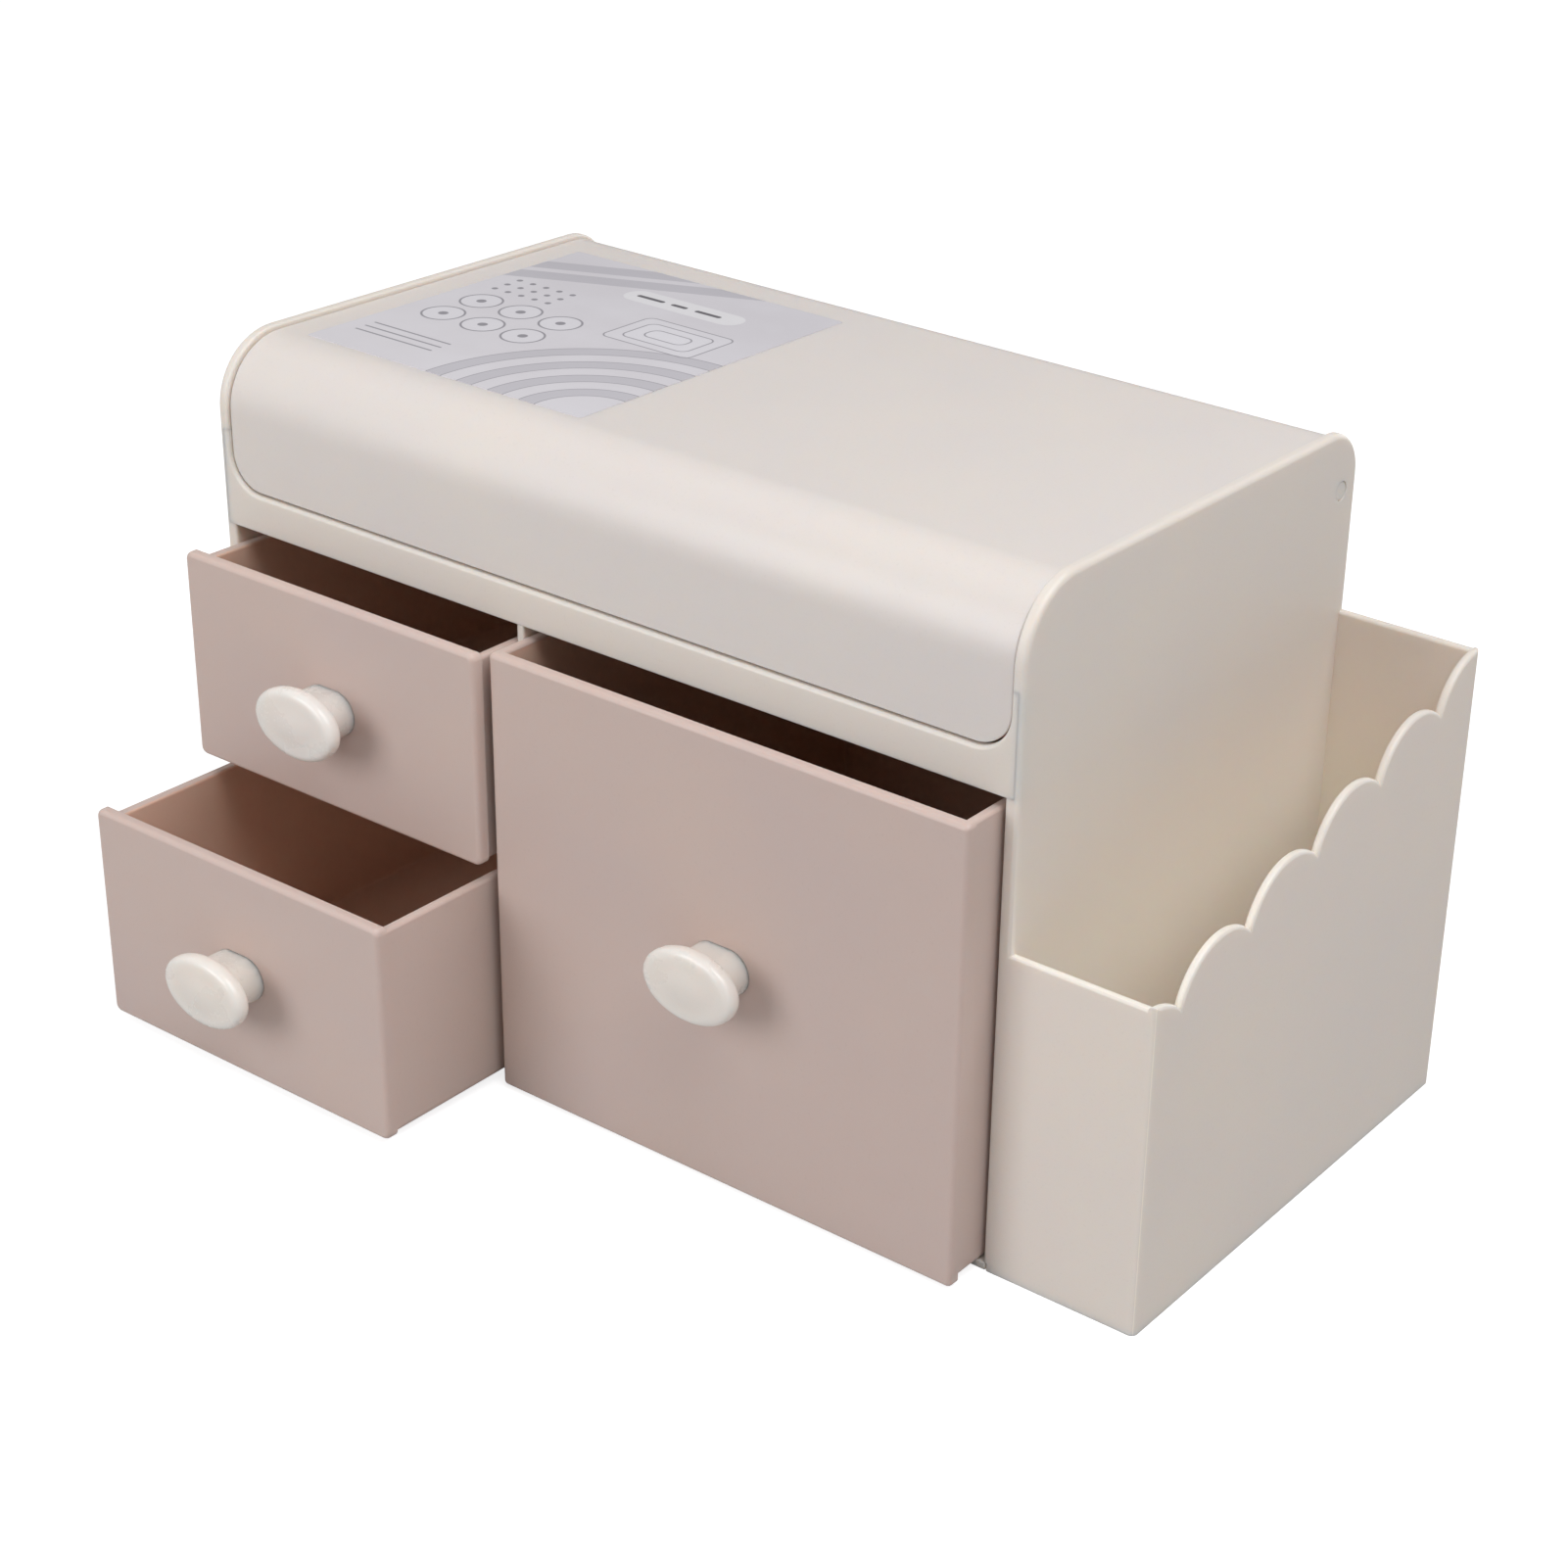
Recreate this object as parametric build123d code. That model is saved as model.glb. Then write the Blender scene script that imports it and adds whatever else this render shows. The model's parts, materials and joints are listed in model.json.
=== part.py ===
from build123d import *
import math
import os

# Tabletop drawer chest with a flip-up lid and a scalloped side pocket, moulded in plastic.
# Millimetres. X runs to the right, Y to the rear, Z up. The origin is the centre of the
# chest's base, on the surface that it stands on. The drawers are drawn part open.

# ---- driving dimensions: chest ----
WIDTH = 240.0
DEPTH = 136.0
HEIGHT = 166.0
SIDE_WALL = 3.0
PLATE = 2.0
FRONT_Y = -DEPTH / 2
REAR_Y = DEPTH / 2
INNER_HALF = WIDTH / 2 - SIDE_WALL
SIDE_FRONT_RADIUS = 18.0
SIDE_REAR_RADIUS = 12.0
SIDE_EDGE_ROUND = 1.3
SIDE_INNER_ROUND = 0.7
BAY_HALF = 116.5
DIVIDER_X = -21.0
SHELF_Z = 59.6
DECK_Z = 119.0
BACK_HEIGHT = 142.9
INNER_REAR_Y = REAR_Y - PLATE

# ---- front rail of the deck ----
RAIL_THICK = 2.6
RAIL_TOP_Z = 128.4
RAIL_EAR_TOP_Z = 143.3
RAIL_EAR_WIDTH = 1.8
RAIL_HALF = INNER_HALF + RAIL_EAR_WIDTH - 0.1
RAIL_CORNER = 9.4
RAIL_EDGE_ROUND = 0.9

# ---- side pocket ----
POCKET_OUT = 37.0
POCKET_WALL = 2.2
POCKET_FRONT_TOP = 82.2
POCKET_CORNER = 1.6
SCALLOP_PITCH_Y = 27.3
SCALLOP_PITCH_Z = 7.2
SCALLOP_FIRST = (9.8, 78.9)
SCALLOP_RISE = 7.4
SCALLOP_LAST = 4
SCALLOP_CHORD = math.hypot(SCALLOP_PITCH_Y, SCALLOP_PITCH_Z)
SCALLOP_RADIUS = (SCALLOP_CHORD**2 / 4 + SCALLOP_RISE**2) / (2 * SCALLOP_RISE)
POCKET_X = WIDTH / 2 + POCKET_OUT
POCKET_SEAT_X = INNER_HALF + 0.8
RIM_ROUND = 0.9

# ---- lid ----
LID_GAP = 0.4
LID_HALF = INNER_HALF - LID_GAP
LID_WALL = 1.8
LID_DROP = 1.1
LID_INSET = 0.9
LID_LOW_Z = 129.0
LID_CORNER = 9.0
LID_REAR_LOW_Z = 143.5
LID_SKIRT = 7.0
LID_SKIRT_WALL = 2.0
LID_BOSS_RADIUS = 5.6
LID_BOSS_WIDTH = 4.0
PIN_Y = REAR_Y - 7.0
PIN_Z = HEIGHT - 15.0
PIN_RADIUS = 2.5
PIN_FIT = 0.07
PIN_PROUD = 0.15
PIN_CHAMFER = 0.4

# ---- label on the lid ----
LABEL_SIZE = (89.5, 97.0)
LABEL_CENTRE = (-63.2, -0.5)
LABEL_THICK = 0.15
LABEL_CORNER = 0.8

# ---- drawers ----
FRONT_THICK = 3.2
FRONT_EDGE_ROUND = 1.3
TUB_WALL = 2.6
TUB_FRONT_BITE = 1.2
TUB_LENGTH = 130.0
TUB_CORNER = 1.6
TUB_INNER_CORNER = 1.0
RIM_DROP = 2.0
TUB_RIM_ROUND = 0.8
SMALL_PLATE_X = (-117.8, -21.2)
SMALL_TUB_X = (-116.1, -22.4)
DRAWERS = {
    "drawer_top_left": dict(
        plate_x=SMALL_PLATE_X, plate_z=(61.7, 116.3), corner=2.0, tub_x=SMALL_TUB_X,
        tub_z=(61.8, 116.3 - RIM_DROP), pull=12.4, knob=(-69.4, 88.2),
    ),
    "drawer_bottom_left": dict(
        plate_x=SMALL_PLATE_X, plate_z=(2.1, 58.9), corner=2.0, tub_x=SMALL_TUB_X,
        tub_z=(2.2, 58.9 - RIM_DROP), pull=45.8, knob=(-69.4, 30.1),
    ),
    "drawer_right": dict(
        plate_x=(-20.0, 115.7), plate_z=(0.8, 116.3), corner=1.2, tub_x=(-19.6, 115.5),
        tub_z=(2.2, 116.3), pull=8.6, knob=(49.4, 58.9),
    ),
}

# ---- knobs and their screws ----
KNOB_HALF_WIDTH = 13.2
KNOB_HALF_HEIGHT = 8.9
KNOB_UNDERSIDE = 10.8
KNOB_NECK_HALF_WIDTH = 8.3
KNOB_NECK_HALF_HEIGHT = 5.7
KNOB_NECK_OUT = 8.0
KNOB_EDGE_OUT = 10.4
KNOB_LENGTH = 13.0
SCREW_HOLE = 1.7
SCREW_SHANK = 1.4
SCREW_HEAD = 3.4
SCREW_HEAD_THICK = 2.0
SCREW_BITE = 6.5
SCREW_TIP_GAP = 0.4
SCREW_SLOT = (0.9, 4.0, 0.9)


def near(shape, point):
    """The vertex of a shape that lies nearest to a point."""
    return shape.vertices().sort_by_distance(Vector(*point))[0]


def rounded_face(points, radii):
    """A flat face through the points, with the corners named in radii rounded."""
    face = make_face(Polyline(*points, close=True))
    for point, radius in radii:
        face = fillet(near(face, (*point, 0)), radius)
    return face


def slab(face, low_x, high_x):
    """A face drawn as (y, z), made solid from low_x to high_x."""
    return extrude(Plane.YZ.offset(low_x) * face, amount=high_x - low_x)


def panel(face, low_y, high_y):
    """A face drawn as (x, z), made solid from low_y to high_y."""
    return extrude(Plane.XZ.offset(-high_y) * face, amount=high_y - low_y)


def block(low, high):
    """A box between two corners."""
    size = [b - a for a, b in zip(low, high)]
    centre = [(a + b) / 2 for a, b in zip(low, high)]
    return Pos(*centre) * Box(*size)


def edges_at(shape, axis, value, reach=0.01):
    """The edges that lie wholly in the plane axis = value."""
    return shape.edges().filter_by_position(axis, value - reach, value + reach)


def side_outline():
    """The chest's side seen from the right: a large front curve and a smaller rear one."""
    corners = [(FRONT_Y, 0), (REAR_Y, 0), (REAR_Y, HEIGHT), (FRONT_Y, HEIGHT)]
    radii = [(corners[3], SIDE_FRONT_RADIUS), (corners[2], SIDE_REAR_RADIUS)]
    return rounded_face(corners, radii)


def bay_lining(sign):
    """The part of a side wall beside the drawers that makes it thicker there than by the lid."""
    face, root = sign * BAY_HALF, sign * (INNER_HALF + SIDE_INNER_ROUND)
    lining = block((min(face, root), FRONT_Y, PLATE), (max(face, root), INNER_REAR_Y, DECK_Z))
    front_edge = edges_at(lining, Axis.X, face).filter_by(Axis.Z).sort_by(Axis.Y)[0]
    return fillet(front_edge, SIDE_INNER_ROUND)


def side_panel(sign):
    """One side wall, with its rebate for the rail's end and its bore for the hinge pin."""
    inner, outer = sign * INNER_HALF, sign * WIDTH / 2
    wall = slab(side_outline(), min(inner, outer), max(inner, outer))
    wall = fillet(edges_at(wall, Axis.X, outer).filter_by(is_raised), SIDE_EDGE_ROUND)
    wall = fillet(edges_at(wall, Axis.X, inner).filter_by(is_raised), SIDE_INNER_ROUND)
    wall += bay_lining(sign)
    ear_x = sign * RAIL_HALF
    rebate = block(
        (min(inner - sign, ear_x), FRONT_Y - 1.0, DECK_Z),
        (max(inner - sign, ear_x), FRONT_Y + RAIL_THICK, RAIL_EAR_TOP_Z),
    )
    bore = Pos(outer, PIN_Y, PIN_Z) * Rot(0, 90, 0) * Cylinder(PIN_RADIUS, 4 * SIDE_WALL)
    return wall - rebate - bore


def is_raised(edge):
    """True for an edge that isn't on the surface that the chest stands on."""
    return edge.center().Z > 1.0


def scallop_cusp(k):
    """The k-th notch between two scallops, as (y, z)."""
    return (
        FRONT_Y + SCALLOP_FIRST[0] + SCALLOP_PITCH_Y * k,
        SCALLOP_FIRST[1] + SCALLOP_PITCH_Z * k,
    )


def scallop_top(k):
    """The middle of the k-th scallop's arc."""
    a, b = scallop_cusp(k), scallop_cusp(k + 1)
    rise_y = -SCALLOP_PITCH_Z / SCALLOP_CHORD * SCALLOP_RISE
    rise_z = SCALLOP_PITCH_Y / SCALLOP_CHORD * SCALLOP_RISE
    return ((a[0] + b[0]) / 2 + rise_y, (a[1] + b[1]) / 2 + rise_z)


def scallop_height(y, k):
    """How high the k-th scallop's arc stands at a depth y."""
    top_y, top_z = scallop_top(k)
    centre_y = top_y + SCALLOP_PITCH_Z / SCALLOP_CHORD * SCALLOP_RADIUS
    centre_z = top_z - SCALLOP_PITCH_Y / SCALLOP_CHORD * SCALLOP_RADIUS
    return centre_z + math.sqrt(SCALLOP_RADIUS**2 - (y - centre_y) ** 2)


def scalloped_wall():
    """The pocket's outer wall: a sloping top edge of equal circular scallops."""
    arcs = [
        ThreePointArc(scallop_cusp(k), scallop_top(k), scallop_cusp(k + 1))
        for k in range(-1, SCALLOP_LAST + 1)
    ]
    first, last = scallop_cusp(-1), scallop_cusp(SCALLOP_LAST + 1)
    wavy = make_face([*arcs, Polyline(last, (last[0], 0), (first[0], 0), first)])
    face = wavy & (Pos(0, HEIGHT / 2) * Rectangle(DEPTH, HEIGHT))
    wall = slab(face, POCKET_X - POCKET_WALL, POCKET_X)
    return fillet(wall.edges().filter_by(GeomType.CIRCLE), RIM_ROUND)


def end_wall(low_y, height):
    """The pocket's front or rear wall, with a rounded rim."""
    wall = block((POCKET_SEAT_X, low_y, 0), (POCKET_X, low_y + POCKET_WALL, height))
    return fillet(wall.edges().filter_by(Axis.X).group_by(Axis.Z)[-1], RIM_ROUND)


def side_with_pocket():
    """The right side wall and the pocket, one moulding with flush front and rear faces."""
    front = end_wall(FRONT_Y, POCKET_FRONT_TOP)
    rear = end_wall(REAR_Y - POCKET_WALL, scallop_height(REAR_Y, SCALLOP_LAST))
    floor = block((POCKET_SEAT_X, FRONT_Y, 0), (POCKET_X, REAR_Y, PLATE))
    shell = scalloped_wall() + front + rear + floor
    plan = block((POCKET_SEAT_X, FRONT_Y, 0), (POCKET_X, REAR_Y, HEIGHT))
    corners = plan.edges().filter_by(Axis.Z).group_by(Axis.X)[-1]
    return side_panel(1) + (shell & fillet(corners, POCKET_CORNER))


def base_plate():
    """The chest's floor, between the side walls and in front of the back."""
    return block((-INNER_HALF, FRONT_Y, 0), (INNER_HALF, INNER_REAR_Y, PLATE))


def back_panel():
    """The flat back, which stops below the lid's rear skirt."""
    back = block((-INNER_HALF, INNER_REAR_Y, 0), (INNER_HALF, REAR_Y, BACK_HEIGHT))
    top = back.edges().filter_by(Axis.X).group_by(Axis.Z)[-1]
    return fillet(top, PLATE * 0.3)


def centre_divider():
    """The upright wall between the small drawers and the large one."""
    half = PLATE / 2
    low = (DIVIDER_X - half, FRONT_Y, PLATE)
    high = (DIVIDER_X + half, INNER_REAR_Y, DECK_Z)
    return block(low, high)


def drawer_shelf():
    """The shelf that the upper small drawer runs on."""
    low = (-BAY_HALF, FRONT_Y, SHELF_Z)
    high = (DIVIDER_X - PLATE / 2, INNER_REAR_Y, SHELF_Z + PLATE)
    return block(low, high)


def rail_face():
    """The deck's front rail, whose ends sweep up round the lid's lower corners."""
    ear = RAIL_HALF
    hollow = ear - RAIL_EAR_WIDTH
    points = [
        (-ear, DECK_Z), (ear, DECK_Z), (ear, RAIL_EAR_TOP_Z), (hollow, RAIL_EAR_TOP_Z),
        (hollow, RAIL_TOP_Z), (-hollow, RAIL_TOP_Z), (-hollow, RAIL_EAR_TOP_Z),
        (-ear, RAIL_EAR_TOP_Z),
    ]
    return rounded_face(points, [(points[4], RAIL_CORNER), (points[5], RAIL_CORNER)])


def top_deck():
    """The floor of the compartment under the lid, with the front rail."""
    rail = panel(rail_face(), FRONT_Y, FRONT_Y + RAIL_THICK)
    lip = [
        e for e in edges_at(rail, Axis.Y, FRONT_Y)
        if e.center().Z > RAIL_TOP_Z - 0.1 and abs(e.center().X) < INNER_HALF
        and e.center().Z < RAIL_EAR_TOP_Z - 0.1
    ]
    rail = fillet(lip, RAIL_EDGE_ROUND)
    floor = block((-INNER_HALF, FRONT_Y + 1.0, DECK_Z), (INNER_HALF, INNER_REAR_Y, DECK_Z + PLATE))
    return rail + floor


def lid_outline(shrink=0.0):
    """The lid seen from the right, drawn in by a distance on its outer faces."""
    front = FRONT_Y + LID_INSET + shrink
    rear = REAR_Y - LID_INSET - 0.3 - shrink
    top = HEIGHT - LID_DROP - shrink
    points = [(front, LID_LOW_Z), (rear, LID_LOW_Z), (rear, top), (front, top)]
    front_radius = SIDE_FRONT_RADIUS - LID_INSET - shrink
    rear_radius = SIDE_REAR_RADIUS - LID_DROP - shrink
    return rounded_face(points, [(points[3], front_radius), (points[2], rear_radius)])


def lid():
    """The flip-up lid: flat top, curved front, short rear skirt and stiffened sides."""
    whole = slab(lid_outline(), -LID_HALF, LID_HALF)
    shell = whole - slab(lid_outline(LID_WALL), -LID_HALF - 1, LID_HALF + 1)
    band = lid_outline() - lid_outline(LID_SKIRT)
    boss = Pos(PIN_Y, PIN_Z) * Circle(LID_BOSS_RADIUS)
    for sign in (-1, 1):
        outer = sign * LID_HALF
        skirt_in = outer - sign * LID_SKIRT_WALL
        boss_in = outer - sign * LID_BOSS_WIDTH
        shell += slab(band, min(outer, skirt_in), max(outer, skirt_in))
        shell += slab(boss, min(outer, boss_in), max(outer, boss_in)) & whole
    rear_cut = block((-WIDTH, 0, 0), (WIDTH, REAR_Y + 5, LID_REAR_LOW_Z))
    shell -= rear_cut
    for sign in (-1, 1):
        shell -= lid_corner_cutter(sign)
        bore = Pos(sign * LID_HALF, PIN_Y, PIN_Z) * Rot(0, 90, 0)
        shell -= bore * Cylinder(PIN_RADIUS + PIN_FIT, 4 * LID_BOSS_WIDTH)
    return shell


def lid_corner_cutter(sign):
    """What is cut off a lower front corner of the lid to round it."""
    outer = sign * LID_HALF
    centre_x = outer - sign * LID_CORNER
    centre_z = LID_LOW_Z + LID_CORNER
    over = 1.0
    square = Pos((centre_x + outer + sign * over) / 2, (LID_LOW_Z - over + centre_z) / 2) * Rectangle(
        LID_CORNER + over, LID_CORNER + over
    )
    cut = square - Pos(centre_x, centre_z) * Circle(LID_CORNER)
    return panel(cut, FRONT_Y - 5, FRONT_Y + 30)


def hinge_pin(sign):
    """A stub pin, pushed through a side wall from outside into the lid's boss."""
    outer = sign * (WIDTH / 2 - PIN_PROUD)
    inner = sign * (LID_HALF - LID_BOSS_WIDTH)
    length = abs(outer - inner)
    pin = Pos((outer + inner) / 2, PIN_Y, PIN_Z) * Rot(0, 90, 0) * Cylinder(PIN_RADIUS, length)
    ends = pin.edges().filter_by(GeomType.CIRCLE)
    return chamfer(ends, PIN_CHAMFER)


def lid_label():
    """A thin printed film on the flat top of the lid."""
    top = HEIGHT - LID_DROP
    film = Pos(*LABEL_CENTRE, top + LABEL_THICK / 2) * Box(*LABEL_SIZE, LABEL_THICK)
    return fillet(film.edges().filter_by(Axis.Z), LABEL_CORNER)


def drawer_front(d, y):
    """The drawer's front plate, rounded at its corners and all round its face."""
    (left, right), (low, high) = d["plate_x"], d["plate_z"]
    plate = block((left, y, low), (right, y + FRONT_THICK, high))
    inner_rim = edges_at(plate, Axis.Y, y + FRONT_THICK).filter_by(Axis.X).sort_by(Axis.Z)[-1]
    centre = Pos((left + right) / 2, (low + high) / 2)
    outline = centre * RectangleRounded(right - left, high - low, d["corner"])
    plate = fillet(inner_rim, TUB_RIM_ROUND) & panel(outline, y, y + FRONT_THICK)
    return fillet(edges_at(plate, Axis.Y, y), FRONT_EDGE_ROUND)


def tray(low, high, radius):
    """A box whose edges are rounded, apart from those round its top and its front."""
    box = block(low, high)
    edges = [
        e for e in box.edges()
        if e.center().Y > low[1] + 0.1 and e.center().Z < high[2] - 0.1
    ]
    return fillet(edges, radius)


def drawer_tub(d, y):
    """The drawer's box behind the front plate, thin-walled and open to the front."""
    (left, right), (low, high) = d["tub_x"], d["tub_z"]
    back = y + FRONT_THICK
    front, rear = back - TUB_FRONT_BITE, back + TUB_LENGTH
    outer = tray((left, front, low), (right, rear, high), TUB_CORNER)
    hollow = tray(
        (left + TUB_WALL, front - 5, low + TUB_WALL),
        (right - TUB_WALL, rear - TUB_WALL, high + 5),
        TUB_INNER_CORNER,
    )
    tub = outer - hollow
    rim = [e for e in edges_at(tub, Axis.Z, high) if e.center().Y > front + 0.5]
    return fillet(rim, TUB_RIM_ROUND)


def drawer(d):
    """One drawer, a single moulding, pulled out by its own distance."""
    y = front_y(d)
    hole = Pos(*knob_place(d)) * Rot(90, 0, 0) * Cylinder(SCREW_HOLE, 4 * FRONT_THICK)
    return drawer_front(d, y) + drawer_tub(d, y) - hole


def front_y(d):
    """Where the face of the drawer's front plate stands."""
    return FRONT_Y - d["pull"] - FRONT_THICK


def knob_place(d):
    """The middle of the knob's foot, on the face of the drawer's front plate."""
    x, z = d["knob"]
    return (x, front_y(d), z)


def knob_head():
    """The knob's head: a turned pebble, squeezed in height to an ellipse, facing +Y."""
    foot, edge, top = KNOB_NECK_OUT, KNOB_EDGE_OUT, KNOB_LENGTH
    half = make_face([
        Line((0, top), (0, foot)),
        Line((0, foot), (KNOB_UNDERSIDE, foot)),
        Spline((KNOB_UNDERSIDE, foot), (KNOB_HALF_WIDTH, edge), tangents=((1, 0), (0, 1))),
        Spline(
            (KNOB_HALF_WIDTH, edge), (KNOB_HALF_WIDTH * 0.7, top - 0.6), (0, top),
            tangents=((0, 1), (-1, 0)),
        ),
    ])
    turned = revolve(half, Axis.Y)
    return scale(turned, by=(1, 1, KNOB_HALF_HEIGHT / KNOB_HALF_WIDTH))


def knob(d):
    """An oval mushroom knob on a stadium-shaped neck, bored for its screw from behind."""
    slot = SlotOverall(2 * KNOB_NECK_HALF_WIDTH, 2 * KNOB_NECK_HALF_HEIGHT)
    neck = extrude(Plane.XZ * slot, amount=-(KNOB_NECK_OUT + 0.5))
    hole = Rot(90, 0, 0) * Pos(0, 0, -SCREW_BITE / 2) * Cylinder(SCREW_SHANK, SCREW_BITE)
    shape = knob_head() + neck - hole
    return Pos(*knob_place(d)) * Rot(0, 0, 180) * shape


def knob_screw(d):
    """A pan-head screw that holds the knob from inside the drawer."""
    shank_length = FRONT_THICK + SCREW_BITE - SCREW_TIP_GAP
    head = Pos(0, 0, -SCREW_HEAD_THICK / 2) * Cylinder(SCREW_HEAD, SCREW_HEAD_THICK)
    head = fillet(head.edges().filter_by(GeomType.CIRCLE).sort_by(Axis.Z)[0], 0.8)
    shank = Pos(0, 0, shank_length / 2) * Cylinder(SCREW_SHANK, shank_length)
    screw = head + shank
    wide, long, deep = SCREW_SLOT
    for turn in (0, 90):
        slot = Rot(0, 0, turn) * Pos(0, 0, -SCREW_HEAD_THICK + deep / 2) * Box(long, wide, deep)
        screw -= slot
    return Pos(*knob_place(d)) * Pos(0, FRONT_THICK, 0) * Rot(90, 0, 0) * screw


def build_all():
    """Every node of the object, by name."""
    nodes = {
        "base_plate": base_plate(),
        "side_panel_left": side_panel(-1),
        "side_panel_right_with_pocket": side_with_pocket(),
        "back_panel": back_panel(),
        "centre_divider": centre_divider(),
        "drawer_shelf": drawer_shelf(),
        "top_deck": top_deck(),
        "lid": lid(),
        "lid_hinge_pin_left": hinge_pin(-1),
        "lid_hinge_pin_right": hinge_pin(1),
        "lid_label": lid_label(),
    }
    for name, d in DRAWERS.items():
        nodes[name] = drawer(d)
        nodes[name.replace("drawer", "knob")] = knob(d)
        nodes[name.replace("drawer", "knob_screw")] = knob_screw(d)
    return nodes


os.makedirs("parts", exist_ok=True)
for node, shape in build_all().items():
    export_step(shape, f"parts/{node}.step")
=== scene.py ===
import json
import math

import bmesh
import bpy
from mathutils import Matrix, Vector

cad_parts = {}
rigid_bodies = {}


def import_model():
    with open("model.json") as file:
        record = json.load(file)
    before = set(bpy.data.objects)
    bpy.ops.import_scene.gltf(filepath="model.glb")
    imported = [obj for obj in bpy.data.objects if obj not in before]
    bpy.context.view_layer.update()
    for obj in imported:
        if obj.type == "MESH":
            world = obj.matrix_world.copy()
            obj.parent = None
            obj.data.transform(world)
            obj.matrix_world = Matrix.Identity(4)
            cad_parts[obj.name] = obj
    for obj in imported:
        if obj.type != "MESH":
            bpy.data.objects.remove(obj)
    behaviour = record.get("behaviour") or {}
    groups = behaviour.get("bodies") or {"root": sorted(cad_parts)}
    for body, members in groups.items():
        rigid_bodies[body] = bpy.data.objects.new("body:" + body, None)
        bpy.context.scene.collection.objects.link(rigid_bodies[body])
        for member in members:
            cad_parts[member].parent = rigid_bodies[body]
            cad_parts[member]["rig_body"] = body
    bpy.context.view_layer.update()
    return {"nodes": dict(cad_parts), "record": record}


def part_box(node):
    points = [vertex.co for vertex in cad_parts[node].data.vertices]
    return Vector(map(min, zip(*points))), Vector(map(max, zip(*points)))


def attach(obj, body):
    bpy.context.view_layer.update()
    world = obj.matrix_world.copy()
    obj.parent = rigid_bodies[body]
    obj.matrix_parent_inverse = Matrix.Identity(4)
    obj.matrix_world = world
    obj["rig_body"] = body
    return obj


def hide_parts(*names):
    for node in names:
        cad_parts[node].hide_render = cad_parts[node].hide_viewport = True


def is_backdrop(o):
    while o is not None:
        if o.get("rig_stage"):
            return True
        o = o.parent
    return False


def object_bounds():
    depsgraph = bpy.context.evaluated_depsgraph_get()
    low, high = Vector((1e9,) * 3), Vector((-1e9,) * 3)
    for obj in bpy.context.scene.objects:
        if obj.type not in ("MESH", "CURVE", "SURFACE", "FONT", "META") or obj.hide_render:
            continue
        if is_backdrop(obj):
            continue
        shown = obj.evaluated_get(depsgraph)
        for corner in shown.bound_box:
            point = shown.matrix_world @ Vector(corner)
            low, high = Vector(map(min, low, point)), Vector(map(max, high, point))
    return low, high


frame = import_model()
MM = 0.001

# A moulded plastic drawer chest: cream walls and lid, dusty pink drawers, off-white knobs.
# Metres. X runs to the right, Y to the rear, Z up, and the chest stands on Z = 0.

# ---- colours, as display values from 0 to 255 ----
CREAM = (235, 226, 218)
CREAM_LID = (232, 223, 218)
# The pocket colour below is painted light: lighter and warmer than the cream, for light bounced
# inside the pocket and coming through its walls.
POCKET_PAINTED_LIGHT = (252, 241, 229)
DUSTY_PINK = (212, 192, 184)
# The drawers' inner colour below is painted bounce light: lighter and redder than the outside
# pink, for warm light bouncing inside the drawers.
DRAWER_PAINTED_BOUNCE = (229, 196, 177)
KNOB_WHITE = (238, 232, 226)
ZINC = (176, 178, 180)
FILM_FRONT = (226, 222, 227)
FILM_REAR = (218, 214, 220)
INK_PALE = (236, 234, 240)
INK_SHADE = (186, 183, 191)
INK_MIDDLE = (150, 147, 155)
INK_DARK = (98, 95, 102)
PILL_PALE = (236, 234, 237)
FLOOR_LIGHT = (191, 191, 191)
FLOOR_DARK = (187, 187, 188)

# ---- colours of light, as linear shares ----
SKY_WARM = (1.0, 0.972, 0.945, 1.0)
LAMP_COOL = (0.96, 0.98, 1.0)
WHITE = (1.0, 1.0, 1.0, 1.0)
BLACK = (0.0, 0.0, 0.0, 1.0)

# ---- moulded plastic: features per metre of its noises, and heights in micrometres ----
CLOUD_SCALE = 22.0
SPECK_SCALE = 1400.0
RUB_SCALE = 70.0
GRAIN_SCALE = 2600.0
WAVE_SCALE = 95.0
WAVE_HEIGHT = 12.0
MICROMETRE = 1e-6
WARM_SHIFT = (0.006, 0.0, -0.01)
COOL_SHIFT = (-0.01, -0.01, -0.006)
DUST_SHIFT = (-0.05, -0.055, -0.06)

# ---- how far light goes inside the plastics, as shares of the red reach ----
CREAM_REACH = (1.0, 0.78, 0.6)
PINK_REACH = (1.0, 0.68, 0.58)
KNOB_REACH = (1.0, 0.86, 0.8)

# ---- camera, at the photograph's viewpoint ----
PHOTO_SIZE = 1601
CAMERA_PLACE = Vector((0.43223, -0.53306, 0.39964))
CAMERA_AZIMUTH = 34.1
CAMERA_ELEVATION = 26.04
CAMERA_ROLL = 2.73
CAMERA_FOCAL_PIXELS = 3085.0
CAMERA_CENTRE_PIXELS = (1031.0, 788.0)
SENSOR_MM = 36.0

# ---- pocket, whose painted light fades out up the side wall: a lighter, warmer colour standing in for light through its thin walls and bounced inside ----
POCKET_INNER_X = 120.0 * MM
POCKET_LIGHT_FADE_HIGH = 118.0 * MM
POCKET_LIGHT_FADE_LOW = 70.0 * MM
POCKET_SKIN = 0.4 * MM

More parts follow.
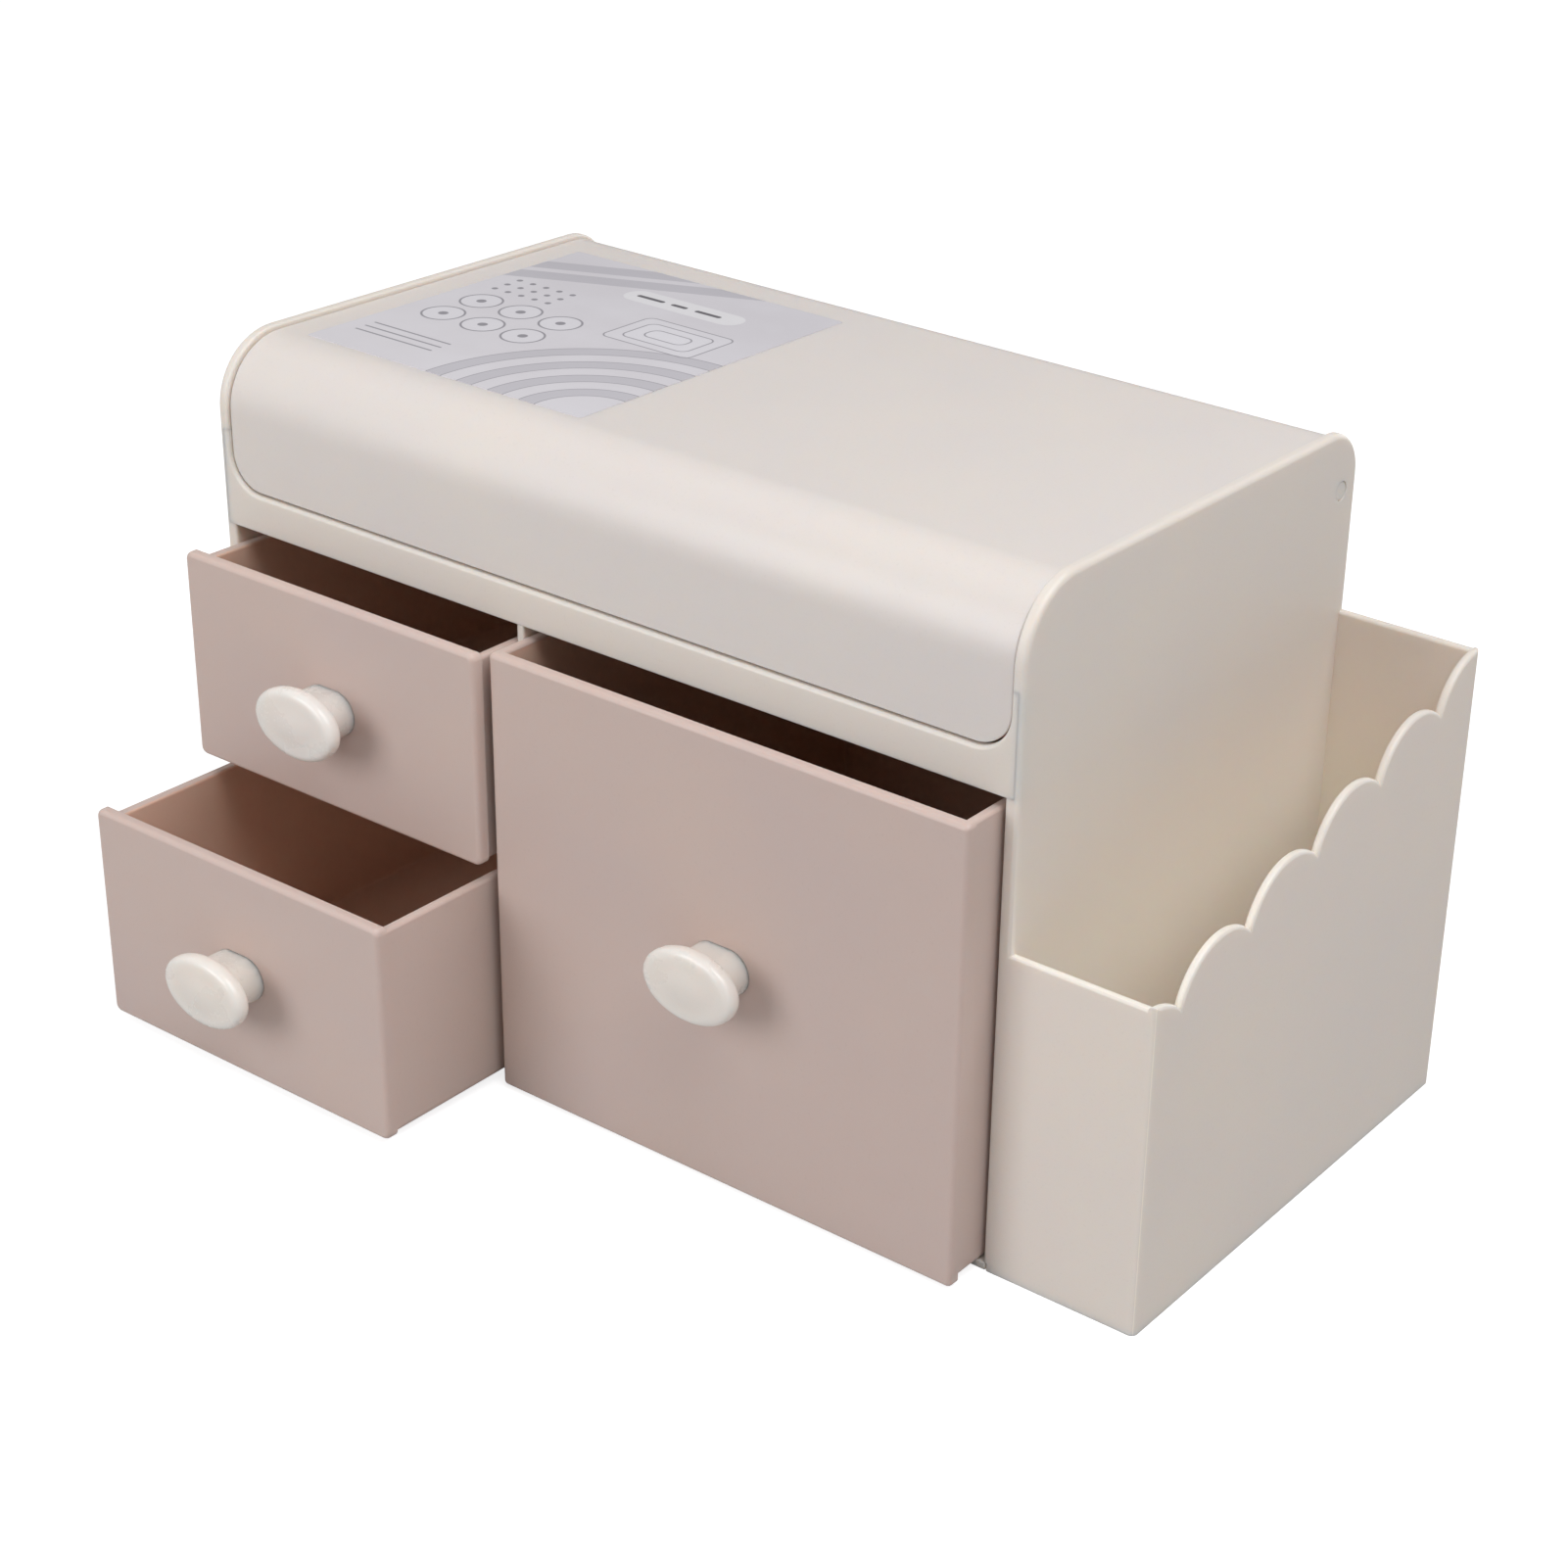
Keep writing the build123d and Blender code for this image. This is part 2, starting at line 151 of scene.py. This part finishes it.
# ---- ejector marks: low discs left by the mould's pins, on inner faces ----
MARK_RADIUS = 2.8 * MM
MARK_TAPER = 0.94
MARK_SIDES = 28
MARK_PROUD = 0.12 * MM
MARK_SUNK = 0.1 * MM
LID_WALL = 1.8 * MM
DECK_FLOOR_TOP = 121.0 * MM
DRAWER_FLOOR_TOPS = {
    "drawer_top_left": 64.4 * MM,
    "drawer_bottom_left": 4.8 * MM,
    "drawer_right": 4.8 * MM,
}
WIDE_DRAWER = 120.0 * MM
DRAWER_MARKS_SHARE = (0.7, 0.66)
LONG_MARKS_SHARE = 1.6
DECK_MARKS_DEPTH = 78.0 * MM
LID_MARKS_DEPTH = 66.0 * MM
UPRIGHT = Matrix.Identity(4)
UPSIDE_DOWN = Matrix.Rotation(math.pi, 4, "X")

# ---- edges ----
SEAM_ROUND = 0.35 * MM
SHARP_CUT_NODES = ("lid", "base_plate", "centre_divider", "drawer_shelf")
SMOOTH_BELOW = 32.0
ROUND_ABOVE = 50.0

# ---- drawers: what counts as inside ----
WALL_SKIN = 1.5 * MM
RIM_DEPTH = 2.2 * MM
FLOOR_DEPTH = 6.0 * MM

# ---- the label's print, in millimetres from its middle ----
PRINT_EDGE = 0.12
ARC_CENTRE = (44.0, -47.0)
ARC_RADII = (16.0, 26.0, 36.0, 46.0)
ARC_HALF = 2.4
ARC_OUTLINE = 0.14
RING_FIRST = (-33.0, -14.0)
RING_STEP = 13.5
RING_RADIUS = 5.4
RING_HALF = 0.28
RING_DOT = 1.3
PILL_CENTRE = (8.0, 30.0)
PILL_HALF = (19.0, 4.2)
PILL_BARS = ((-3.0, 4.5), (6.5, 2.6), (16.0, 4.2))
BAR_HALF_HEIGHT = 0.75
BAR_ROUND = 0.7
LINE_X = -27.0
LINE_LEVELS = (-37.0, -33.8, -30.6)
LINE_HALF = (13.0, 0.3)
LINE_ROUND = 0.28
BLOCK_CENTRE = (21.0, 9.0)
BLOCK_HALVES = ((14.0, 9.5), (10.4, 6.3), (6.4, 2.9))
BLOCK_ROUND = 2.4
BLOCK_OUTLINE = 0.2
STRIPE_LEAN = 0.45
STRIPE_PLACES = (43.0, 53.0)
STRIPE_HALF = 3.4
DOT_FIRST = (-38.0, 9.5)
DOT_STEP = 4.6
DOT_RADIUS = 0.85


# ---------------------------------------------------------------- materials


class Wire:
    """An output in a material's node tree. Arithmetic on it adds Math nodes."""

    def __init__(self, tree, socket=None):
        self.tree = tree
        self.socket = socket

    def node(self, kind, settings, values, output=0):
        """Adds a node: its settings first, then the values or links of its sockets."""
        made = self.tree.nodes.new(kind)
        for name, value in settings.items():
            setattr(made, name, value)
        for name, value in values.items():
            if isinstance(value, Wire):
                self.tree.links.new(value.socket, made.inputs[name])
            else:
                made.inputs[name].default_value = value
        return Wire(self.tree, made.outputs[output])

    def maths(self, operation, *terms):
        return self.node("ShaderNodeMath", {"operation": operation}, dict(enumerate(terms)))

    def __add__(self, other):
        return self.maths("ADD", self, other)

    def __radd__(self, other):
        return self.maths("ADD", other, self)

    def __sub__(self, other):
        return self.maths("SUBTRACT", self, other)

    def __rsub__(self, other):
        return self.maths("SUBTRACT", other, self)

    def __mul__(self, other):
        return self.maths("MULTIPLY", self, other)

    def __rmul__(self, other):
        return self.maths("MULTIPLY", other, self)

    def __lt__(self, other):
        return self.maths("LESS_THAN", self, other)

    def __gt__(self, other):
        return self.maths("GREATER_THAN", self, other)

    def __abs__(self):
        return self.maths("ABSOLUTE", self)


def paint(display):
    """A colour given as display values, made linear."""
    linear = []
    for value in display:
        level = value / 255
        linear.append(level / 12.92 if level <= 0.04045 else ((level + 0.055) / 1.055) ** 2.4)
    return (*linear, 1.0)


def tinted(display, by):
    """A display colour made lighter or darker, each channel by its own share."""
    return tuple(value * (1 + share) for value, share in zip(display, by))


def new_material(name):
    """A material with a Principled shader, and a wire on its Object coordinates."""
    material = bpy.data.materials.new(name)
    material.use_nodes = True
    tree = material.node_tree
    shader = tree.nodes["Principled BSDF"]
    place = Wire(tree).node("ShaderNodeTexCoord", {}, {}, "Object")
    return material, shader, place


def feed(shader, name, wire):
    """Links a wire to one of the shader's sockets."""
    wire.tree.links.new(wire.socket, shader.inputs[name])


def noise(place, scale, detail=2.0, roughness=0.5):
    """Smooth noise around 0.5, with its scale in features per metre."""
    values = {"Vector": place, "Scale": scale, "Detail": detail, "Roughness": roughness}
    return place.node("ShaderNodeTexNoise", {}, values, "Fac")


def mix(factor, first, second):
    """Two colours blended by a wire."""
    return factor.node("ShaderNodeMix", {"data_type": "RGBA"}, {0: factor, 6: first, 7: second}, 2)


def stretched(wire, low, high):
    """A wire taken from low..high to 0..1 and clamped."""
    values = {"Value": wire, "From Min": low, "From Max": high, "To Min": 0.0, "To Max": 1.0}
    return wire.node("ShaderNodeMapRange", {"clamp": True}, values)


def bumped(height, distance, strength=1.0):
    """A normal from a height wire, with the height in metres."""
    values = {"Height": height, "Distance": distance, "Strength": strength}
    return height.node("ShaderNodeBump", {}, values, "Normal")


def moulded_plastic(name, colour, rough, grain, glow, reach, reach_scale, coat=0.0, painted_pocket_colour=None):
    """Injection-moulded plastic: faint flow clouds, a fine tool grain and slow waviness.

    The painted pocket colour is painted light: a lighter, warmer colour for the faces inside the
    pocket, standing in for the light that comes through its thin walls and bounces inside.
    """
    material, shader, place = new_material(name)
    clouds = stretched(noise(place, CLOUD_SCALE, 3.0), 0.3, 0.7)
    specks = stretched(noise(place, SPECK_SCALE, 1.0), 0.62, 0.8)
    warm = paint(tinted(colour, WARM_SHIFT))
    cool = paint(tinted(colour, COOL_SHIFT))
    dust = paint(tinted(colour, DUST_SHIFT))
    ground = mix(specks * 0.3, mix(clouds, warm, cool), dust)
    # Painted light: inside the pocket the base colour turns lighter and warmer, for light through
    # the thin walls and bounced inside.
    if painted_pocket_colour:
        ground = mix(pocket_light_mask(place), ground, paint(painted_pocket_colour))
    feed(shader, "Base Color", ground)
    rub = stretched(noise(place, RUB_SCALE, 4.0, 0.6), 0.35, 0.75)
    feed(shader, "Roughness", rough + rub * 0.05 + specks * 0.04)
    fine = noise(place, GRAIN_SCALE, 2.0, 0.6)
    slow = noise(place, WAVE_SCALE, 1.0)
    feed(shader, "Normal", bumped(fine * grain + slow * WAVE_HEIGHT, MICROMETRE))
    shader.inputs["Subsurface Weight"].default_value = glow
    shader.inputs["Subsurface Radius"].default_value = reach
    shader.inputs["Subsurface Scale"].default_value = reach_scale
    shader.inputs["Coat Weight"].default_value = coat
    shader.inputs["Coat Roughness"].default_value = 0.06
    return material


def pocket_light_mask(place):
    """Mask of the pocket's painted light: one on its inner faces, fading out up the side wall
    above its rim.
    """
    split = place.node("ShaderNodeSeparateXYZ", {}, {"Vector": place}).socket.node
    x, y, z = (Wire(place.tree, split.outputs[axis]) for axis in "XYZ")
    low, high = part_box("side_panel_right_with_pocket")
    across = (x > POCKET_INNER_X - POCKET_SKIN) * (x < high[0] - POCKET_SKIN)
    along = (y > low[1] + POCKET_SKIN) * (y < high[1] - POCKET_SKIN)
    return across * along * stretched(z, POCKET_LIGHT_FADE_HIGH, POCKET_LIGHT_FADE_LOW)


def inside(distance):
    """One inside a shape and zero outside it, from its signed distance in millimetres."""
    return stretched(distance, PRINT_EDGE, -PRINT_EDGE)


def rounded_plate(x, y, centre, half, radius):
    """Signed distance to a rounded rectangle."""
    over_x = abs(x - centre[0]) - (half[0] - radius)
    over_y = abs(y - centre[1]) - (half[1] - radius)
    out_x, out_y = over_x.maths("MAXIMUM", over_x, 0.0), over_y.maths("MAXIMUM", over_y, 0.0)
    outer = (out_x * out_x + out_y * out_y).maths("SQRT", out_x * out_x + out_y * out_y)
    nearer = over_x.maths("MINIMUM", over_x.maths("MAXIMUM", over_x, over_y), 0.0)
    return outer + nearer - radius


def disc(x, y, centre, radius):
    """Signed distance to a disc."""
    away_x, away_y = x - centre[0], y - centre[1]
    return away_x.maths("SQRT", away_x * away_x + away_y * away_y) - radius


def printed_film(centre):
    """A satin lilac-grey film printed with plain stripes, arcs, frames, dots, rings and bars."""
    material, shader, place = new_material("printed_lilac_film")
    split = place.node("ShaderNodeSeparateXYZ", {}, {"Vector": place}).socket.node
    x = (Wire(place.tree, split.outputs["X"]) - centre[0]) * 1000.0
    y = (Wire(place.tree, split.outputs["Y"]) - centre[1]) * 1000.0
    ground = mix(stretched(y + x * 0.4, -50.0, 50.0), paint(FILM_FRONT), paint(FILM_REAR))
    wash = stretched(noise(place, 45.0, 3.0), 0.35, 0.75)
    ground = mix(wash * 0.3, ground, paint(INK_PALE))
    for offset in STRIPE_PLACES:
        stripe = inside(abs(y - x * STRIPE_LEAN - offset) - STRIPE_HALF)
        ground = mix(stripe * 0.7, ground, paint(INK_SHADE))
    for radius in ARC_RADII:
        away = abs(disc(x, y, ARC_CENTRE, radius))
        ground = mix(inside(away - ARC_HALF) * 0.6, ground, paint(INK_SHADE))
        ground = mix(inside(abs(away - ARC_HALF) - ARC_OUTLINE), ground, paint(INK_MIDDLE))
    for half in BLOCK_HALVES:
        block = rounded_plate(x, y, BLOCK_CENTRE, half, BLOCK_ROUND)
        ground = mix(inside(block) * 0.35, ground, paint(INK_PALE))
        ground = mix(inside(abs(block) - BLOCK_OUTLINE), ground, paint(INK_MIDDLE))
    for row in range(3):
        for column in range(5):
            spot = (DOT_FIRST[0] + DOT_STEP * column, DOT_FIRST[1] + DOT_STEP * row)
            ground = mix(inside(disc(x, y, spot, DOT_RADIUS)), ground, paint(INK_MIDDLE))
    for row in range(2):
        for column in range(3):
            spot = (RING_FIRST[0] + RING_STEP * column, RING_FIRST[1] + RING_STEP * row)
            face = inside(disc(x, y, spot, RING_RADIUS))
            ring = inside(abs(disc(x, y, spot, RING_RADIUS)) - RING_HALF)
            ground = mix(face * 0.4, ground, paint(INK_PALE))
            ground = mix(ring, ground, paint(INK_MIDDLE))
            ground = mix(inside(disc(x, y, spot, RING_DOT)), ground, paint(INK_MIDDLE))
    plate = inside(rounded_plate(x, y, PILL_CENTRE, PILL_HALF, PILL_HALF[1]))
    ground = mix(plate * 0.9, ground, paint(PILL_PALE))
    for centre_x, half_x in PILL_BARS:
        spot, half = (centre_x, PILL_CENTRE[1]), (half_x, BAR_HALF_HEIGHT)
        bar = inside(rounded_plate(x, y, spot, half, BAR_ROUND))
        ground = mix(bar, ground, paint(INK_DARK))
    for level in LINE_LEVELS:
        line = inside(rounded_plate(x, y, (LINE_X, level), LINE_HALF, LINE_ROUND))
        ground = mix(line, ground, paint(INK_MIDDLE))
    feed(shader, "Base Color", ground)
    rub = stretched(noise(place, 160.0, 3.0), 0.35, 0.7)
    feed(shader, "Roughness", 0.3 + rub * 0.08)
    feed(shader, "Normal", bumped(noise(place, 60.0, 2.0), 4e-5))
    shader.inputs["Coat Weight"].default_value = 0.35
    shader.inputs["Coat Roughness"].default_value = 0.12
    return material


def zinc_plated_steel():
    """Bright screw steel with a fine bumped grain and a mottled passivation."""
    material, shader, place = new_material("zinc_plated_steel")
    blotches = stretched(noise(place, 600.0, 3.0), 0.35, 0.7)
    base = paint(ZINC)
    warm = paint(tinted(ZINC, (0.04, 0.0, -0.1)))
    feed(shader, "Base Color", mix(blotches, base, warm))
    feed(shader, "Roughness", 0.28 + blotches * 0.18)
    feed(shader, "Normal", bumped(noise(place, 5200.0, 2.0), 6e-6, 0.6))
    shader.inputs["Metallic"].default_value = 1.0
    return material


# ---------------------------------------------------------------- pieces


def bare_mesh_object(name, shape):
    """A new object at the origin from a bmesh, which is then freed."""
    mesh = bpy.data.meshes.new(name)
    shape.to_mesh(mesh)
    shape.free()
    piece = bpy.data.objects.new(name, mesh)
    bpy.context.scene.collection.objects.link(piece)
    return piece


def smooth(piece, edge_round):
    """Smooth shading that keeps hard edges or rounds them, with flat faces kept truly flat."""
    shape = bmesh.new()
    shape.from_mesh(piece.data)
    limit = math.radians(SMOOTH_BELOW)
    for face in shape.faces:
        face.smooth = True
    for edge in shape.edges:
        edge.smooth = len(edge.link_faces) == 2 and edge.calc_face_angle(0.0) < limit
    shape.to_mesh(piece.data)
    shape.free()
    if edge_round:
        bevel = piece.modifiers.new("softened_edges", "BEVEL")
        bevel.width = edge_round
        bevel.segments = 2
        bevel.limit_method = "ANGLE"
        bevel.angle_limit = math.radians(ROUND_ABOVE)
    weighted = piece.modifiers.new("flat_faces", "WEIGHTED_NORMAL")
    weighted.keep_sharp = True
    weighted.weight = 100
    return piece


def merged_copy(node, name):
    """A copy of a CAD node's loose triangles, joined up and with its flat faces made whole."""
    shape = bmesh.new()
    shape.from_mesh(frame["nodes"][node].data)
    bmesh.ops.remove_doubles(shape, verts=shape.verts, dist=2e-6)
    bmesh.ops.dissolve_limit(
        shape, angle_limit=math.radians(0.2), verts=shape.verts, edges=shape.edges
    )
    return bare_mesh_object(name, shape)


def finished(piece, node, material):
    """Gives a piece its material, and lets it ride and stand for its CAD node."""
    piece.data.materials.clear()
    piece.data.materials.append(material)
    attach(piece, frame["nodes"][node]["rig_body"])
    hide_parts(node)


def mark_tree():
    """Geometry Nodes: a grid of low round marks, with their count and sizes as inputs."""
    tree = bpy.data.node_groups.new("ejector_marks", "GeometryNodeTree")
    sockets = {
        "Across": "NodeSocketFloat", "Deep": "NodeSocketFloat", "Columns": "NodeSocketInt",
        "Rows": "NodeSocketInt", "Radius": "NodeSocketFloat", "Height": "NodeSocketFloat",
        "Finish": "NodeSocketMaterial",
    }
    for name, kind in sockets.items():
        tree.interface.new_socket(name, in_out="INPUT", socket_type=kind)
    tree.interface.new_socket("Geometry", in_out="OUTPUT", socket_type="NodeSocketGeometry")
    given = tree.nodes.new("NodeGroupInput").outputs
    grid = tree.nodes.new("GeometryNodeMeshGrid")
    mark = tree.nodes.new("GeometryNodeMeshCone")
    mark.inputs["Vertices"].default_value = MARK_SIDES
    taper = tree.nodes.new("ShaderNodeMath")
    taper.operation = "MULTIPLY"
    taper.inputs[1].default_value = MARK_TAPER
    place = tree.nodes.new("GeometryNodeInstanceOnPoints")
    whole = tree.nodes.new("GeometryNodeRealizeInstances")
    finish = tree.nodes.new("GeometryNodeSetMaterial")
    result = tree.nodes.new("NodeGroupOutput")
    links = [
        (given["Across"], grid.inputs["Size X"]),
        (given["Deep"], grid.inputs["Size Y"]),
        (given["Columns"], grid.inputs["Vertices X"]),
        (given["Rows"], grid.inputs["Vertices Y"]),
        (given["Radius"], mark.inputs["Radius Bottom"]),
        (given["Radius"], taper.inputs[0]),
        (taper.outputs[0], mark.inputs["Radius Top"]),
        (given["Height"], mark.inputs["Depth"]),
        (grid.outputs["Mesh"], place.inputs["Points"]),
        (mark.outputs["Mesh"], place.inputs["Instance"]),
        (place.outputs["Instances"], whole.inputs["Geometry"]),
        (whole.outputs["Geometry"], finish.inputs["Geometry"]),
        (given["Finish"], finish.inputs["Material"]),
        (finish.outputs["Geometry"], result.inputs["Geometry"]),
    ]
    for source, target in links:
        tree.links.new(source, target)
    return tree


def ejector_marks(node, centre, turn, size, count, material):
    """The ejector pins' marks on one flat face of a node, as a piece of their own."""
    name = f"{node}_ejector_marks"
    seed = bpy.data.objects.new(f"{name}_seed", bpy.data.meshes.new(f"{name}_seed"))
    bpy.context.scene.collection.objects.link(seed)
    modifier = seed.modifiers.new("marks", "NODES")
    modifier.node_group = MARK_TREE
    values = {
        "Across": size[0], "Deep": size[1], "Columns": count[0], "Rows": count[1],
        "Radius": MARK_RADIUS, "Height": MARK_PROUD + MARK_SUNK, "Finish": material,
    }
    for item in MARK_TREE.interface.items_tree:
        if item.name in values:
            modifier[item.identifier] = values[item.name]
    bpy.context.view_layer.update()
    made = seed.evaluated_get(bpy.context.evaluated_depsgraph_get())
    mesh = bpy.data.meshes.new_from_object(made)
    bpy.data.objects.remove(seed)
    sunk = Matrix.Translation((0.0, 0.0, -MARK_SUNK))
    mesh.transform(Matrix.Translation(centre) @ turn @ sunk)
    mesh.name = name
    mesh.materials.clear()
    mesh.materials.append(material)
    piece = bpy.data.objects.new(name, mesh)
    bpy.context.scene.collection.objects.link(piece)
    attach(piece, frame["nodes"][node]["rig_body"])


def paint_bounce_inside(piece, node, material):
    """Gives the faces inside a drawer painted bounce light: a lighter, redder tone than its
    outside has, standing in for the warm light bounced inside it.
    """
    low, high = (Vector(corner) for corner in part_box(node))
    middle = (low + high) / 2
    piece.data.materials.append(material)
    for face in piece.data.polygons:
        centre, normal = face.center, face.normal
        away = centre - middle
        faces_in = min(away.x * normal.x, away.y * normal.y) < -1e-6
        on_floor = normal.z > 0.5 and centre.z < low.z + FLOOR_DEPTH
        within_x = low.x + WALL_SKIN < centre.x < high.x - WALL_SKIN
        within_y = low.y + WALL_SKIN < centre.y < high.y - WALL_SKIN
        below_rim = centre.z < high.z - RIM_DEPTH
        if within_x and within_y and below_rim and (faces_in or on_floor):
            face.material_index = 1


# ---------------------------------------------------------------- studio


def photo_camera():
    """The camera at the photograph's viewpoint, with the photograph's framing."""
    data = bpy.data.cameras.new("photo_camera")
    data.sensor_width = SENSOR_MM
    data.sensor_fit = "HORIZONTAL"
    data.lens = CAMERA_FOCAL_PIXELS / PHOTO_SIZE * SENSOR_MM
    data.shift_x = (PHOTO_SIZE / 2 - CAMERA_CENTRE_PIXELS[0]) / PHOTO_SIZE
    data.shift_y = (CAMERA_CENTRE_PIXELS[1] - PHOTO_SIZE / 2) / PHOTO_SIZE
    data.clip_start = 0.01
    data.clip_end = 50.0
    camera = bpy.data.objects.new("photo_camera", data)
    turn = (
        Matrix.Rotation(math.radians(CAMERA_AZIMUTH), 4, "Z")
        @ Matrix.Rotation(math.radians(90 - CAMERA_ELEVATION), 4, "X")
        @ Matrix.Rotation(math.radians(CAMERA_ROLL), 4, "Z")
    )
    camera.matrix_world = Matrix.Translation(CAMERA_PLACE) @ turn
    bpy.context.scene.collection.objects.link(camera)
    bpy.context.scene.camera = camera


def softbox(name, place, aim, size, watts):
    """A large rectangular lamp that points at a place on the chest."""
    data = bpy.data.lights.new(name, "AREA")
    data.shape = "RECTANGLE"
    data.size, data.size_y = size
    data.energy = watts
    data.color = LAMP_COOL
    lamp = bpy.data.objects.new(name, data)
    lamp.location = place
    lamp.rotation_euler = (Vector(aim) - Vector(place)).to_track_quat("-Z", "Y").to_euler()
    bpy.context.scene.collection.objects.link(lamp)


def studio_world(level):
    """Even, slightly warm light, seen as plain white by the camera and through glass."""
    world = bpy.data.worlds.new("studio_world")
    bpy.context.scene.world = world
    world.use_nodes = True
    tree = world.node_tree
    background = tree.nodes["Background"]
    rays = Wire(tree).node("ShaderNodeLightPath", {}, {}, "Is Camera Ray")
    light_path = rays.socket.node
    clear = Wire(tree, light_path.outputs["Is Transmission Ray"])
    seen = rays.maths("MAXIMUM", rays, clear)
    colour = mix(seen, SKY_WARM, WHITE)
    tree.links.new(colour.socket, background.inputs["Color"])
    strength = level + seen * (1.0 - level)
    tree.links.new(strength.socket, background.inputs["Strength"])


def studio_floor(size, lift):
    """A pale floor, lifted to white for the camera, which keeps the chest's shadow."""
    shape = bmesh.new()
    bmesh.ops.create_grid(shape, x_segments=8, y_segments=8, size=size / 2)
    floor = bare_mesh_object("studio_floor", shape)
    material, shader, place = new_material("pale_floor")
    feed(shader, "Base Color", mix(noise(place, 3.0), paint(FLOOR_LIGHT), paint(FLOOR_DARK)))
    shader.inputs["Roughness"].default_value = 0.9
    shader.inputs["Specular IOR Level"].default_value = 0.1
    rays = place.node("ShaderNodeLightPath", {}, {}, "Is Camera Ray")
    shader.inputs["Emission Strength"].default_value = lift
    feed(shader, "Emission Color", mix(rays, BLACK, WHITE))
    floor.data.materials.append(material)
    floor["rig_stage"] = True


# ---------------------------------------------------------------- the chest in its studio


photo_camera()
studio_world(0.3)
studio_floor(8.0, 0.8)
softbox("key_softbox", (0.62, -0.1, 1.25), (0.1, 0.0, 0.08), (1.0, 1.0), 12.4)
softbox("front_softbox", (-0.5, -1.25, 0.6), (0.0, 0.0, 0.08), (0.9, 0.9), 8.4)
softbox("rear_softbox", (0.1, 1.4, 0.22), (0.0, 0.0, 0.06), (0.8, 0.4), 3.0)

label_low, label_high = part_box("lid_label")
label_centre = [(a + b) / 2 for a, b in zip(label_low, label_high)]

# The cream's pocket faces get painted light, a lighter, warmer colour for light bounced inside the
# pocket.
cream = moulded_plastic(
    "cream_plastic", CREAM, 0.38, 9.0, 0.6, CREAM_REACH, 0.003, painted_pocket_colour=POCKET_PAINTED_LIGHT
)
cream_lid = moulded_plastic("cream_lid_plastic", CREAM_LID, 0.33, 7.0, 0.6, CREAM_REACH, 0.003)
pink = moulded_plastic("dusty_pink_plastic", DUSTY_PINK, 0.36, 9.0, 0.6, PINK_REACH, 0.0014)
# Painted bounce light for the drawers' inner faces: a lighter, redder pink for the warm light
# bounced inside them.
pink_painted_bounce = moulded_plastic("painted_bounce_pink_plastic", DRAWER_PAINTED_BOUNCE, 0.3, 9.0, 0.5, PINK_REACH, 0.0016)
knob_white = moulded_plastic(
    "off_white_knob_plastic", KNOB_WHITE, 0.26, 2.0, 1.0, KNOB_REACH, 0.005, coat=0.3
)
cream_mark = moulded_plastic("cream_mark_plastic", CREAM, 0.44, 9.0, 0.0, CREAM_REACH, 0.001)
# The marks on the drawer floors carry the same painted bounce light as the drawers' inner faces.
pink_mark = moulded_plastic("pink_mark_plastic", DRAWER_PAINTED_BOUNCE, 0.4, 9.0, 0.0, PINK_REACH, 0.001)
film = printed_film(label_centre)
zinc = zinc_plated_steel()

FINISHES = {
    "shell": cream, "lid": cream_lid, "pin": cream, "label": film,
    "drawer": pink, "knob": knob_white, "screw": zinc,
}
for part in frame["record"]["subparts"]:
    node, slot = part["node"], part["material_slot"]
    edge_round = SEAM_ROUND if node in SHARP_CUT_NODES else 0.0
    piece = smooth(merged_copy(node, f"{node}_moulding"), edge_round)
    finished(piece, node, FINISHES[slot])
    if slot == "drawer":
        # The faces inside each drawer get the painted bounce light.
        paint_bounce_inside(piece, node, pink_painted_bounce)

MARK_TREE = mark_tree()
for node, floor_top in DRAWER_FLOOR_TOPS.items():
    low, high = (Vector(corner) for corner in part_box(node))
    middle, span = (low + high) / 2, high - low
    size = (span.x * DRAWER_MARKS_SHARE[0], span.y * DRAWER_MARKS_SHARE[1])
    count = (4 if span.x > WIDE_DRAWER else 3, 3)
    centre = (middle.x, middle.y + 4 * MM, floor_top)
    ejector_marks(node, centre, UPRIGHT, size, count, pink_mark)

low, high = (Vector(corner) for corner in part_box("top_deck"))
size = (high.x * LONG_MARKS_SHARE, DECK_MARKS_DEPTH)
centre = (0.0, 4 * MM, DECK_FLOOR_TOP)
ejector_marks("top_deck", centre, UPRIGHT, size, (6, 3), cream_mark)

low, high = (Vector(corner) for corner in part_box("lid"))
size = (high.x * LONG_MARKS_SHARE, LID_MARKS_DEPTH)
centre = (0.0, 2 * MM, high.z - LID_WALL)
ejector_marks("lid", centre, UPSIDE_DOWN, size, (6, 2), cream_mark)

view = bpy.context.scene.view_settings
view.view_transform = "Standard"
low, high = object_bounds()
